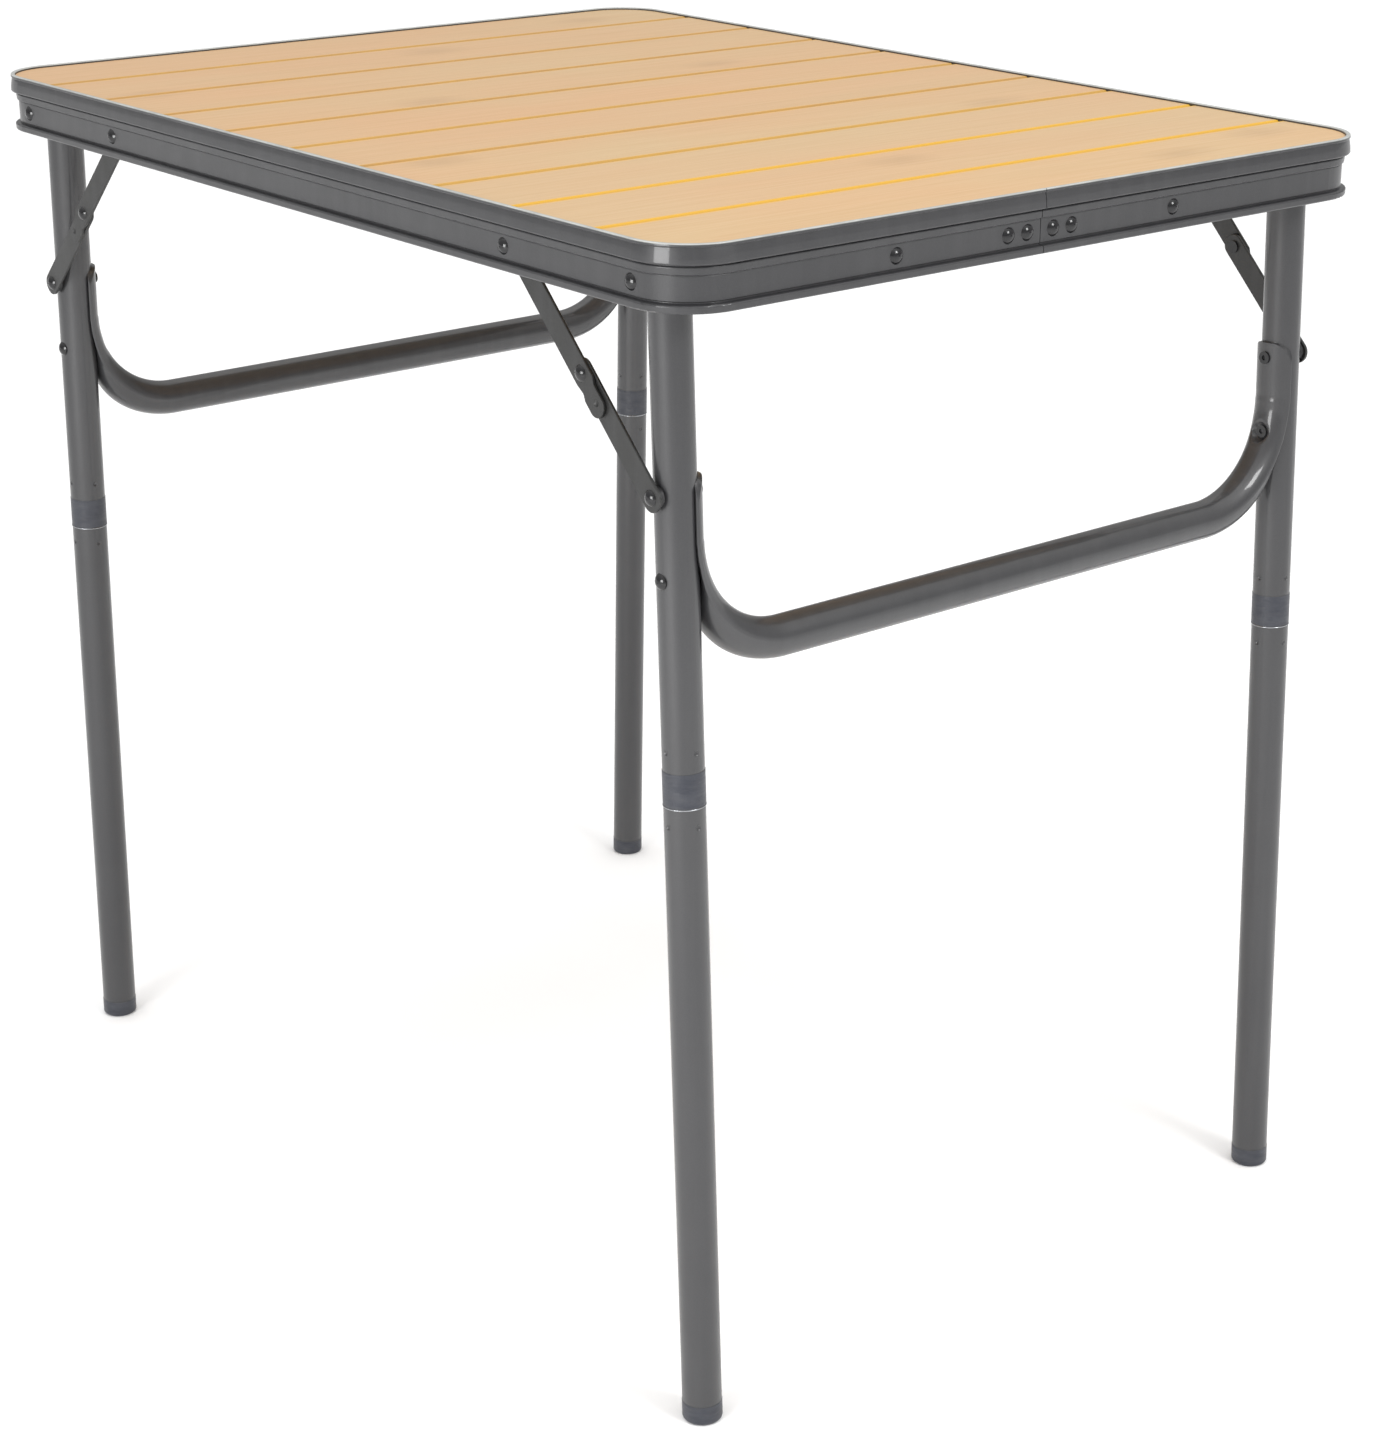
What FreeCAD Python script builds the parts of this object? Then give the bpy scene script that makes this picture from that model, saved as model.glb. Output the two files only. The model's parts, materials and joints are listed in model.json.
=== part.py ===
import FreeCAD, Part
import math
import os

# Folding camp side table: a grooved board in a bent rail, on two folding leg frames
# with toggle braces and four pull-off lower legs. Millimetres, +Z up.
# Origin: on the floor under the middle of the table. +X runs along the length,
# towards the end of the rail with the seam. +Y runs along the width, to the rear.

# ---- driving dimensions -------------------------------------------------------------
LENGTH = 750.0
WIDTH = 550.0
HEIGHT = 712.0
CORNER_R = 38.0

RAIL_H = 37.0
RAIL_WALL = 1.8
BEAD_H = 1.7            # bead around the rail's top edge
BEAD_IN = 0.5           # bead's face, measured inward from the outermost face
BAND_LEAN = 1.25        # the upper band leans out this much from top to bottom
BAND_BULGE_R = 36.0
BAND_H = 11.2           # top of the rail to the bottom edge of the upper band
BAND_PROUD = 4.5        # upper band stands this far out of the middle band
SHOULDER_GAP = 0.9      # narrow groove between the upper band and the small shoulder
SHOULDER_H = 18.0       # top of the rail to the bottom of the small shoulder
SHOULDER_OUT = 1.4      # shoulder stands this far out of the middle band
LIP_H = 5.0             # bottom lip of the rail
LIP_PROUD = 3.2         # bottom lip stands this far out of the middle band
RIM_T = 3.4             # top rim around the board
LEDGE_IN = 9.0          # ledge under the board, measured from the outermost face
LEDGE_T = 1.6

RIM_UP = 1.5            # rim stands this far above the board
BOARD_T = 4.5
BOARD_GAP = 0.2
GROOVE_COUNT = 9
GROOVE_PITCH = LENGTH / (GROOVE_COUNT + 1)
GROOVE_W = 5.0
GROOVE_DEPTH = 1.6

SEAM_Y = -11.0           # seam in the rail, across the width
SEAM_GAP = 0.5
SPLICE_HALF = 118.0
SPLICE_H = 15.0
SPLICE_T = 2.0
SPLICE_RIVETS = (10.2, 24.9, 109.0)   # distances from the seam

TUBE_R = 12.0
TUBE_WALL = 1.2
LEG_Y = 245.0
PIVOT_X = 331.0
PIVOT_Z = 688.0
LEG_ABOVE_PIVOT = 12.0
SPLAY_DEG = 2.0
JOINT_DROP = 295.0      # pivot to the joint between upper and lower leg

BRACE_RAIL_DX = 113.5   # leg pivot to the brace's rail rivet
BRACE_LEG_DROP = 117.5  # leg pivot to the brace's leg rivet
LINK_W = 15.0
LINK_T = 2.0
LINK_END = 8.0          # strip beyond a rivet
LINK_ROUND = 7.0
LINK_EDGE = 0.35        # chamfer along the strip's edges
LINK_GAP = 0.3
TAB_LEN = 27.0          # upper link beyond the middle rivet
TAB_IN = 2.4            # lock tab is this much narrower on its inner side
TAB_OUT = 0.6           # and this much wider on its outer side
TAB_ROUND = 6.2
DIMPLE_BALL = 3.0       # ball that presses the dimple in the lock tab
DIMPLE_DEPTH = 1.0
DIMPLE_IN = 7.5         # dimple to the end of the tab
SPACER_R = 6.0
FACE_GAP = 0.1          # running gap between turning faces

BAR_DROP = 213.0        # pivot to the cross tube's axis
BEND_R = 55.0
ARM_Y = LEG_Y - 17.0    # cross tube axis where it has turned upward
ARM_TOP_DROP = 108.0
ARM_RIVET_DROP = 165.0
ARM_IN_R = 12.05
ARM_OUT_R = 14.6
CRUSH_R = 57.0          # hollow pressed into the bend where it meets the leg
CRUSH_UP = 14.0
HOLLOW_DEG = 12.0       # the tube stays hollow this far into each bend

SHANK_R = 3.0
HOLE_GAP = 0.06
HEAD_R = 4.8
HEAD_H = 2.4
TAIL_R = 4.0
TAIL_H = 1.3
TAIL_BORE_R = 1.6
TAIL_BORE_D = 2.5
TAIL_SEAT_R = 4.5       # recess pressed around the tail of the lower arm rivet

INSERT_R = TUBE_R - TUBE_WALL - 0.02
SOCKET_IN_R = 9.6
SOCKET_L = 42.0
FLANGE_T = 1.2
COLLAR_T = 0.2
COLLAR_H = 20.0
SPIGOT_R = 9.5
SPIGOT_UP = 38.0
SPIGOT_DOWN = 35.0
SPIGOT_NOSE_H = 3.0
SPIGOT_NOSE_IN = 1.5
CRIMP_BALL = 2.4        # ball that presses each crimp in a leg tube
CRIMP_DEPTH = 0.7
CRIMP_UP = 32.0         # joint to the crimps above it
CRIMP_DOWN = 12.0       # joint to the crimps below it
PLUG_FACE = 1.5
PLUG_IN = 6.0
FOOT_H = 12.0
FOOT_R = 12.15
FOOT_ROUND = 2.5
FOOT_IN = 18.0
SOLE_SPARE = 1.0        # foot drawn this much too long, then cut level

DRILL_SPARE = 10.0      # a drill runs past the faces by this much
SAW_SPARE = 1.0         # the seam cut runs past the rail by this much
FLOOR_BLOCK_H = 50.0    # depth of the block that cuts the feet level
ON_FLOOR = 0.01         # an edge below this height lies on the floor
FLAT = 1e-4             # an edge this thin across the width lies in one face

SIDES = {"right": 1.0, "left": -1.0}
ROWS = {"front": -1.0, "rear": 1.0}

# ---- levels across the width, measured from the middle -------------------------------
HALF_W = WIDTH / 2
BAND_FACE = HALF_W - BAND_PROUD            # outside of the rail's middle band
WALL_IN = BAND_FACE - RAIL_WALL            # inside of the rail's wall
LEG_OUT = LEG_Y + TUBE_R
LEG_IN = LEG_Y - TUBE_R
LINK_FROM_WALL = 4.3
UPPER_OUT = WALL_IN - LINK_FROM_WALL       # outer face of the upper brace link
UPPER_IN = UPPER_OUT - LINK_T
LOWER_OUT = UPPER_IN - LINK_GAP            # outer face of the lower brace link
LOWER_IN = LOWER_OUT - LINK_T
ARM_FACE = LEG_Y - ARM_OUT_R               # inner face of the crushed arm
BOARD_TOP = HEIGHT - RIM_UP

V = FreeCAD.Vector
X_AXIS = V(1, 0, 0)
Y_AXIS = V(0, 1, 0)
Z_AXIS = V(0, 0, 1)


# ---- helpers --------------------------------------------------------------------------
def rounded_wire(corners, place):
    """Closed outline through (a, b, radius) corners, each rounded by a tangent arc."""
    spots = [place(a, b) for a, b, _ in corners]
    count = len(corners)
    starts, middles, ends = [], [], []
    for i, (_, _, radius) in enumerate(corners):
        here = spots[i]
        back = (spots[i - 1] - here).normalize()
        ahead = (spots[(i + 1) % count] - here).normalize()
        half = back.getAngle(ahead) / 2
        reach = radius / math.tan(half)
        starts.append(here + back * reach)
        ends.append(here + ahead * reach)
        bisector = (back + ahead).normalize()
        middles.append(here + bisector * (radius / math.sin(half) - radius))
    edges = []
    for i, (_, _, radius) in enumerate(corners):
        if radius > 0:
            edges.append(Part.Arc(starts[i], middles[i], ends[i]).toShape())
        following = (i + 1) % count
        if ends[i].distanceToPoint(starts[following]) > 1e-6:
            edges.append(Part.LineSegment(ends[i], starts[following]).toShape())
    return Part.Wire(edges)


def turned(profile, base, axis):
    """Solid of revolution from a closed (radius, height) polygon about an axis."""
    points = [V(r, 0, h) for r, h in profile]
    face = Part.Face(Part.makePolygon(points + [points[0]]))
    solid = face.revolve(V(0, 0, 0), Z_AXIS, 360)
    solid.Placement = FreeCAD.Placement(base, FreeCAD.Rotation(Z_AXIS, axis))
    return solid


def ring(base, axis, outer, inner, length):
    """Tube of the given length, starting at base and running along axis."""
    body = Part.makeCylinder(outer, length, base, axis)
    return body.cut(Part.makeCylinder(inner, length, base, axis))


def rivet(x, row, z, head_face, tail_face):
    """Dome rivet across the width: dome outside head_face, hollow tail inside tail_face."""
    inward = V(0, -row, 0)
    length = head_face - tail_face
    seat = V(x, row * head_face, z)
    ball_r = (HEAD_R ** 2 + HEAD_H ** 2) / (2 * HEAD_H)
    rim = V(HEAD_R, 0, 0)
    crown = V(0, 0, -HEAD_H)
    lean = math.asin(HEAD_R / ball_r) / 2
    shoulder = V(ball_r * math.sin(lean), 0, ball_r - HEAD_H - ball_r * math.cos(lean))
    edges = [
        Part.Arc(rim, shoulder, crown).toShape(),
        Part.LineSegment(crown, V(0, 0, 0)).toShape(),
        Part.LineSegment(V(0, 0, 0), rim).toShape(),
    ]
    dome = Part.Face(Part.Wire(edges)).revolve(V(0, 0, 0), Z_AXIS, 360)
    dome.Placement = FreeCAD.Placement(seat, FreeCAD.Rotation(Z_AXIS, inward))
    shank = Part.makeCylinder(SHANK_R, length + TAIL_H, seat, inward)
    tail_seat = V(x, row * tail_face, z)
    tail = Part.makeCylinder(TAIL_R, TAIL_H, tail_seat, inward)
    tip = V(x, row * (tail_face - TAIL_H), z)
    bore = Part.makeCylinder(TAIL_BORE_R, TAIL_BORE_D, tip, V(0, row, 0))
    return dome.fuse([shank, tail]).cut(bore).removeSplitter()


def cross_hole(x, z, radius=SHANK_R + HOLE_GAP):
    """Long cylinder across the whole width, for drilling."""
    return Part.makeCylinder(
        radius, WIDTH + 2 * DRILL_SPARE, V(x, -HALF_W - DRILL_SPARE, z), Y_AXIS)


def seam_hole(y):
    """Short cylinder along the length, for drilling the rail beside its seam."""
    start = V(LENGTH / 2 - LEDGE_IN - DRILL_SPARE, y, PIVOT_Z)
    return Part.makeCylinder(SHANK_R + HOLE_GAP, LEDGE_IN + 2 * DRILL_SPARE, start, X_AXIS)


def splayed(shape, side):
    """Turn a leg-frame shape drawn upright to its splay, about the leg pivot."""
    turned_shape = shape.copy()
    turned_shape.rotate(V(side * PIVOT_X, 0, PIVOT_Z), Y_AXIS, -side * SPLAY_DEG)
    return turned_shape


def save(name, *solids):
    """Write one node. Several solids make one group."""
    shape = solids[0] if len(solids) == 1 else Part.makeCompound(list(solids))
    for solid in solids:
        if not solid.isValid() or len(solid.Solids) != 1:
            raise RuntimeError(name + ": bad solid")
    shape.exportStep("parts/" + name + ".step")


# ---- table top ------------------------------------------------------------------------
def rail_section():
    """Corners of the rail's section as (inward distance, height, rounding)."""
    top = HEIGHT
    bottom = HEIGHT - RAIL_H
    face = BAND_PROUD
    wall_in = face + RAIL_WALL
    ledge_top = BOARD_TOP - BOARD_T
    shoulder_top = top - BAND_H - SHOULDER_GAP
    shoulder_bottom = top - SHOULDER_H
    shoulder_out = face - SHOULDER_OUT
    lip_top = bottom + LIP_H
    lip_out = face - LIP_PROUD
    bead = [
        (BEAD_IN + 0.1, top, 0.7),
        (BEAD_IN, top - BEAD_H, 0.4),
    ]
    upper_band = [
        (BAND_LEAN, top - BEAD_H - 0.5, 0.25),
        (0.3 * BAND_LEAN, top - 0.55 * BAND_H, BAND_BULGE_R),
        (0.0, top - BAND_H, 1.0),
    ]
    shoulder = [
        (face - 0.4, shoulder_top, 0.2),
        (shoulder_out, shoulder_top - 0.8, 1.0),
        (shoulder_out + 0.3, shoulder_bottom + 1.2, 0.6),
        (face + 0.2, shoulder_bottom + 0.6, 0.2),
        (face, shoulder_bottom, 0.2),
    ]
    lip = [
        (face, lip_top + 1.0, 0.3),
        (face + 0.7, lip_top + 0.6, 0.2),
        (face + 0.7, lip_top, 0.2),
        (lip_out, lip_top - 0.5, 1.2),
        (lip_out + 0.2, bottom, 1.2),
    ]
    inside = [
        (wall_in + 0.6, bottom, 0.6),
        (wall_in + 0.6, bottom + 2.4, 0.4),
        (wall_in, bottom + 3.2, 0.3),
        (wall_in, ledge_top - LEDGE_T, 0.8),
        (LEDGE_IN, ledge_top - LEDGE_T, 0.5),
        (LEDGE_IN, ledge_top, 0.3),
        (RIM_T, ledge_top, 0.2),
        (RIM_T, top, 0.8),
    ]
    return bead + upper_band + shoulder + lip + inside


def rail_run(length, half_span, turn_deg):
    """Straight stretch of rail, drawn along X on the front side, then turned about Z."""
    start = -length / 2
    wire = rounded_wire(rail_section(), lambda d, z: V(start, -half_span + d, z))
    run = Part.Face(wire).extrude(V(length, 0, 0))
    run.rotate(V(0, 0, 0), Z_AXIS, turn_deg)
    return run


def rail_corner(side, row):
    """Quarter turn of the rail, about its own corner centre."""
    centre = V(side * (LENGTH / 2 - CORNER_R), row * (HALF_W - CORNER_R), 0)
    wire = rounded_wire(rail_section(), lambda d, z: centre + V(CORNER_R - d, 0, z))
    quarter = Part.Face(wire).revolve(centre, Z_AXIS, 90)
    start_deg = {(1, 1): 0, (-1, 1): 90, (-1, -1): 180, (1, -1): 270}[(side, row)]
    quarter.rotate(centre, Z_AXIS, start_deg)
    return quarter


def splice_spots():
    return [SEAM_Y + way * d for d in SPLICE_RIVETS for way in (-1, 1)]


def frame_rail():
    long_run = LENGTH - 2 * CORNER_R
    short_run = WIDTH - 2 * CORNER_R
    runs = [
        rail_run(long_run, HALF_W, 0),
        rail_run(short_run, LENGTH / 2, 90),
        rail_run(long_run, HALF_W, 180),
        rail_run(short_run, LENGTH / 2, 270),
    ]
    corners = [rail_corner(s, r) for s in (1, -1) for r in (1, -1)]
    rail = runs[0].fuse(runs[1:] + corners).removeSplitter()
    seam = Part.makeBox(
        LEDGE_IN + 2 * SAW_SPARE, SEAM_GAP, RAIL_H + 2 * SAW_SPARE,
        V(LENGTH / 2 - LEDGE_IN - SAW_SPARE, SEAM_Y - SEAM_GAP / 2, HEIGHT - RAIL_H - SAW_SPARE),
    )
    drills = [seam]
    for side in SIDES.values():
        drills.append(cross_hole(side * PIVOT_X, PIVOT_Z))
        drills.append(cross_hole(side * (PIVOT_X - BRACE_RAIL_DX), PIVOT_Z))
    drills += [seam_hole(y) for y in splice_spots()]
    return rail.cut(drills)


def top_panel():
    """Board with vee grooves across the width, one tenth of the length apart."""
    inset = RIM_T + BOARD_GAP
    half_l = LENGTH / 2 - inset
    half_w = HALF_W - inset
    radius = CORNER_R - inset
    corners = [(-half_l, -half_w, radius), (half_l, -half_w, radius),
               (half_l, half_w, radius), (-half_l, half_w, radius)]
    base = BOARD_TOP - BOARD_T
    wire = rounded_wire(corners, lambda x, y: V(x, y, base))
    board = Part.Face(wire).extrude(V(0, 0, BOARD_T))
    grooves = []
    for i in range(GROOVE_COUNT):
        x = LENGTH / 2 - (i + 1) * GROOVE_PITCH
        left = V(x - GROOVE_W / 2, -HALF_W, BOARD_TOP)
        right = V(x + GROOVE_W / 2, -HALF_W, BOARD_TOP)
        deep = V(x, -HALF_W, BOARD_TOP - GROOVE_DEPTH)
        vee = Part.Face(Part.makePolygon([left, deep, right, left]))
        grooves.append(vee.extrude(V(0, WIDTH, 0)))
    return board.cut(grooves)


def splice_insert():
    """Strip inside the rail that joins its two ends."""
    outer = LENGTH / 2 - BAND_PROUD - RAIL_WALL
    strip = Part.makeBox(
        SPLICE_T, 2 * SPLICE_HALF, SPLICE_H,
        V(outer - SPLICE_T, SEAM_Y - SPLICE_HALF, PIVOT_Z - SPLICE_H / 2),
    )
    return strip.cut([seam_hole(y) for y in splice_spots()])


def splice_rivets():
    """Six dome rivets, each drawn on the front side and turned to the seam end."""
    outer = LENGTH / 2 - BAND_PROUD
    inner = outer - RAIL_WALL - SPLICE_T
    rivets = []
    for y in splice_spots():
        one = rivet(0, 1, PIVOT_Z, outer, inner)
        one.rotate(V(0, 0, 0), Z_AXIS, -90)
        one.translate(V(0, y, 0))
        rivets.append(one)
    return rivets


def rail_side_rivets(x_offset, tail_face):
    return [
        rivet(side * x_offset, row, PIVOT_Z, BAND_FACE, tail_face)
        for side in SIDES.values() for row in ROWS.values()
    ]


def rail_side_spacers(x_offset, inner_face):
    return [
        ring(V(side * x_offset, row * WALL_IN, PIVOT_Z), V(0, -row, 0),
             SPACER_R, SHANK_R + HOLE_GAP, WALL_IN - inner_face)
        for side in SIDES.values() for row in ROWS.values()
    ]


# ---- leg frames -----------------------------------------------------------------------
def leg_axis_point(side, row, drop):
    return V(side * PIVOT_X, row * LEG_Y, PIVOT_Z - drop)


def leg_crimps(side, row, drop):
    """Four small dents around a leg tube, that hold the plug inside it."""
    axis = leg_axis_point(side, row, drop)
    reach = TUBE_R - CRIMP_DEPTH + CRIMP_BALL
    ways = [X_AXIS, -X_AXIS, Y_AXIS, -Y_AXIS]
    return [Part.makeSphere(CRIMP_BALL, axis + way * reach) for way in ways]


def upper_leg(side, row):
    top = leg_axis_point(side, row, -LEG_ABOVE_PIVOT + PLUG_FACE)
    length = LEG_ABOVE_PIVOT - PLUG_FACE + JOINT_DROP - FLANGE_T
    tube = ring(top, -Z_AXIS, TUBE_R, TUBE_R - TUBE_WALL, length)
    drills = [
        cross_hole(side * PIVOT_X, PIVOT_Z),
        cross_hole(side * PIVOT_X, PIVOT_Z - BRACE_LEG_DROP),
        cross_hole(side * PIVOT_X, PIVOT_Z - ARM_RIVET_DROP),
    ]
    crimps = leg_crimps(side, row, JOINT_DROP - CRIMP_UP)
    return splayed(tube.cut(drills + crimps), side)


def leg_top_plug(side, row):
    top = leg_axis_point(side, row, -LEG_ABOVE_PIVOT)
    face = Part.makeCylinder(TUBE_R, PLUG_FACE, top, -Z_AXIS)
    insert = Part.makeCylinder(INSERT_R, PLUG_FACE + PLUG_IN, top, -Z_AXIS)
    return splayed(face.fuse(insert).removeSplitter(), side)


def leg_socket(side, row):
    """Bush in the end of the upper leg, with a flange over the tube's end."""
    end = leg_axis_point(side, row, JOINT_DROP)
    flange = Part.makeCylinder(TUBE_R, FLANGE_T, end, Z_AXIS)
    bush = Part.makeCylinder(INSERT_R, SOCKET_L, end, Z_AXIS)
    bore = Part.makeCylinder(SOCKET_IN_R, SOCKET_L, end, Z_AXIS)
    return splayed(flange.fuse(bush).cut(bore).removeSplitter(), side)


def leg_collar(side, row):
    start = leg_axis_point(side, row, JOINT_DROP)
    band = ring(start, Z_AXIS, TUBE_R + COLLAR_T, TUBE_R, COLLAR_H)
    return splayed(band, side)


def bent_bar(radius, bend_deg, rise):
    """Round bar across the width: run, a bend of bend_deg each end, then a rise."""
    half_run = ARM_Y - BEND_R
    spine = PIVOT_Z - BAR_DROP
    bar = Part.makeCylinder(radius, 2 * half_run, V(0, -half_run, spine), Y_AXIS)
    pieces = []
    for row in (-1, 1):
        start = V(0, row * half_run, spine)
        circle = Part.Wire(Part.makeCircle(radius, start, Y_AXIS))
        centre = V(0, row * half_run, spine + BEND_R)
        bend = Part.Face(circle).revolve(centre, V(row, 0, 0), bend_deg)
        pieces.append(bend)
        if rise > 0:
            foot = V(0, row * ARM_Y, spine + BEND_R)
            pieces.append(Part.makeCylinder(radius, rise, foot, Z_AXIS))
    return bar.fuse(pieces)


def cross_tube(side):
    """U-shaped tube whose arms are crushed to a half shell around each leg."""
    spine = PIVOT_Z - BAR_DROP
    shape = bent_bar(TUBE_R, 90, CRUSH_UP)
    trims = []
    arms = []
    arm_base = spine + BEND_R / 2
    arm_len = PIVOT_Z - ARM_TOP_DROP - arm_base
    for row in (-1, 1):
        axis_foot = V(0, row * LEG_Y, arm_base)
        shell = Part.makeCylinder(ARM_OUT_R, arm_len, axis_foot, Z_AXIS)
        outer_half = Part.makeBox(
            2 * ARM_OUT_R, ARM_OUT_R, arm_len,
            V(-ARM_OUT_R, min(row * LEG_Y, row * (LEG_Y + ARM_OUT_R)), arm_base),
        )
        arms.append(shell.cut(outer_half))
        trims.append(Part.makeCylinder(
            CRUSH_R, 4 * TUBE_R, V(-2 * TUBE_R, row * (ARM_Y - BEND_R), spine + BEND_R + CRUSH_UP),
            X_AXIS))
        trims.append(Part.makeCylinder(
            ARM_IN_R, WIDTH, V(0, row * LEG_Y, spine - WIDTH / 2), Z_AXIS))
    hollow = bent_bar(TUBE_R - TUBE_WALL, HOLLOW_DEG, 0)
    shape = shape.fuse(arms).cut(trims + [hollow])
    rivet_z = PIVOT_Z - ARM_RIVET_DROP
    drills = [cross_hole(0, PIVOT_Z - BRACE_LEG_DROP), cross_hole(0, rivet_z)]
    for row in (-1, 1):
        drills.append(Part.makeCylinder(
            TAIL_SEAT_R, DRILL_SPARE, V(0, row * ARM_FACE, rivet_z), V(0, -row, 0)))
    shape = shape.cut(drills).removeSplitter()
    shape.translate(V(side * PIVOT_X, 0, 0))
    return splayed(shape, side)


def arm_rivet(side, row):
    """Lower rivet through the arm and the leg."""
    return splayed(
        rivet(side * PIVOT_X, row, PIVOT_Z - ARM_RIVET_DROP, LEG_OUT, ARM_FACE), side)


def brace_leg_rivet(side, row):
    """Upper rivet through the arm, the leg, a spacer and the lower brace link."""
    return splayed(
        rivet(side * PIVOT_X, row, PIVOT_Z - BRACE_LEG_DROP,
              LOWER_OUT + FACE_GAP, ARM_FACE), side)


def brace_leg_spacer(side, row):
    inner = LEG_OUT
    outer = LOWER_IN - FACE_GAP
    spacer = ring(V(side * PIVOT_X, row * inner, PIVOT_Z - BRACE_LEG_DROP),
                  V(0, row, 0), SPACER_R, SHANK_R + HOLE_GAP, outer - inner)
    return splayed(spacer, side)


# ---- folding braces -------------------------------------------------------------------
def brace_points(side):
    """Rail rivet, middle rivet and leg rivet in the X-Z plane, with the brace straight."""
    splay = math.radians(SPLAY_DEG)
    rail = V(side * (PIVOT_X - BRACE_RAIL_DX), 0, PIVOT_Z)
    leg = V(side * (PIVOT_X + BRACE_LEG_DROP * math.sin(splay)), 0,
            PIVOT_Z - BRACE_LEG_DROP * math.cos(splay))
    span = (leg - rail).Length
    upper = (span + BRACE_LEG_DROP - BRACE_RAIL_DX) / 2
    middle = rail + (leg - rail) * (upper / span)
    return rail, middle, leg


def strip(origin, along, side, row, corners, face_in, drills):
    """Flat link: outline in (along, across) from origin, between face_in and its outside."""
    across = V(-along.z * side, 0, along.x * side)
    start = V(0, row * face_in, 0)
    wire = rounded_wire(corners, lambda u, v: origin + along * u + across * v + start)
    link = Part.Face(wire).extrude(V(0, row * LINK_T, 0))
    outline = [edge for edge in link.Edges if edge.BoundBox.YLength < FLAT]
    link = link.makeChamfer(LINK_EDGE, outline)
    holes = [cross_hole(spot.x, spot.z) for spot in drills]
    return link.cut(holes)


def upper_link(side, row):
    rail, middle, _ = brace_points(side)
    along = (middle - rail).normalize()
    length = (middle - rail).Length
    half = LINK_W / 2
    corners = [
        (-LINK_END, -half, LINK_ROUND),
        (-LINK_END, half, LINK_ROUND),
        (length + 0.25 * TAB_LEN, half, 3.0),
        (length + 0.4 * TAB_LEN, half - TAB_IN, 3.0),
        (length + TAB_LEN, half - TAB_IN, TAB_ROUND),
        (length + TAB_LEN, -half - TAB_OUT, TAB_ROUND),
        (length + 0.5 * TAB_LEN, -half - TAB_OUT, 2.0),
        (length + 0.35 * TAB_LEN, -half + 2 * TAB_OUT, 2.0),
        (length + 0.1 * TAB_LEN, -half, 3.0),
    ]
    link = strip(rail, along, side, row, corners, UPPER_IN, [rail, middle])
    spot = rail + along * (length + TAB_LEN - DIMPLE_IN)
    lift = row * (UPPER_OUT + DIMPLE_BALL - DIMPLE_DEPTH)
    return link.cut(Part.makeSphere(DIMPLE_BALL, V(spot.x, lift, spot.z)))


def lower_link(side, row):
    _, middle, leg = brace_points(side)
    along = (leg - middle).normalize()
    length = (leg - middle).Length
    half = LINK_W / 2
    corners = [
        (-LINK_END, -half, LINK_ROUND),
        (-LINK_END, half, LINK_ROUND),
        (length + LINK_END, half, LINK_ROUND),
        (length + LINK_END, -half, LINK_ROUND),
    ]
    return strip(middle, along, side, row, corners, LOWER_IN, [middle, leg])


def middle_rivet_head(side, row):
    """Head and stem of the middle rivet, as far as the upper link's inner face."""
    _, middle, _ = brace_points(side)
    whole = rivet(middle.x, row, middle.z, UPPER_OUT, LOWER_IN)
    beyond = Part.makeCylinder(
        2 * HEAD_R, DRILL_SPARE, V(middle.x, row * UPPER_IN, middle.z), V(0, -row, 0))
    return whole.cut(beyond)


def middle_rivet_tail(side, row):
    """Tail of the middle rivet, from the lower link's outer face inward."""
    _, middle, _ = brace_points(side)
    inward = V(0, -row, 0)
    stem = Part.makeCylinder(SHANK_R, LINK_T + TAIL_H,
                             V(middle.x, row * LOWER_OUT, middle.z), inward)
    tail = Part.makeCylinder(TAIL_R, TAIL_H, V(middle.x, row * LOWER_IN, middle.z), inward)
    return stem.fuse(tail).removeSplitter()


# ---- lower legs -----------------------------------------------------------------------
def sole_drop():
    """Drop from the pivot that carries an upright cylinder past the floor after splay."""
    return (PIVOT_Z + SOLE_SPARE) / math.cos(math.radians(SPLAY_DEG))


def floor_block():
    return Part.makeBox(
        2 * LENGTH, 2 * WIDTH, FLOOR_BLOCK_H, V(-LENGTH, -WIDTH, -FLOOR_BLOCK_H))


def lower_tube(side, row):
    start = leg_axis_point(side, row, JOINT_DROP)
    length = PIVOT_Z - FOOT_H - JOINT_DROP
    tube = ring(start, -Z_AXIS, TUBE_R, TUBE_R - TUBE_WALL, length)
    return splayed(tube.cut(leg_crimps(side, row, JOINT_DROP + CRIMP_DOWN)), side)


def spigot(side, row):
    joint = leg_axis_point(side, row, JOINT_DROP)
    root = Part.makeCylinder(INSERT_R, SPIGOT_DOWN, joint, -Z_AXIS)
    nose = turned(
        [(0, 0), (SPIGOT_R, 0), (SPIGOT_R, SPIGOT_UP - SPIGOT_NOSE_H),
         (SPIGOT_R - SPIGOT_NOSE_IN, SPIGOT_UP), (0, SPIGOT_UP)], joint, Z_AXIS)
    return splayed(root.fuse(nose).removeSplitter(), side)


def foot_cap(side, row):
    """Plug with a rounded sole, cut level with the floor."""
    tube_end = leg_axis_point(side, row, PIVOT_Z - FOOT_H)
    depth = sole_drop() - (PIVOT_Z - FOOT_H)
    sole = Part.makeCylinder(FOOT_R, depth, tube_end, -Z_AXIS)
    insert = Part.makeCylinder(INSERT_R, FOOT_IN, tube_end, Z_AXIS)
    cap = splayed(sole.fuse(insert).removeSplitter(), side)
    cap = cap.cut(floor_block())
    rim = [e for e in cap.Edges if e.BoundBox.ZMax < ON_FLOOR]
    return cap.makeFillet(FOOT_ROUND, rim)


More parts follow.
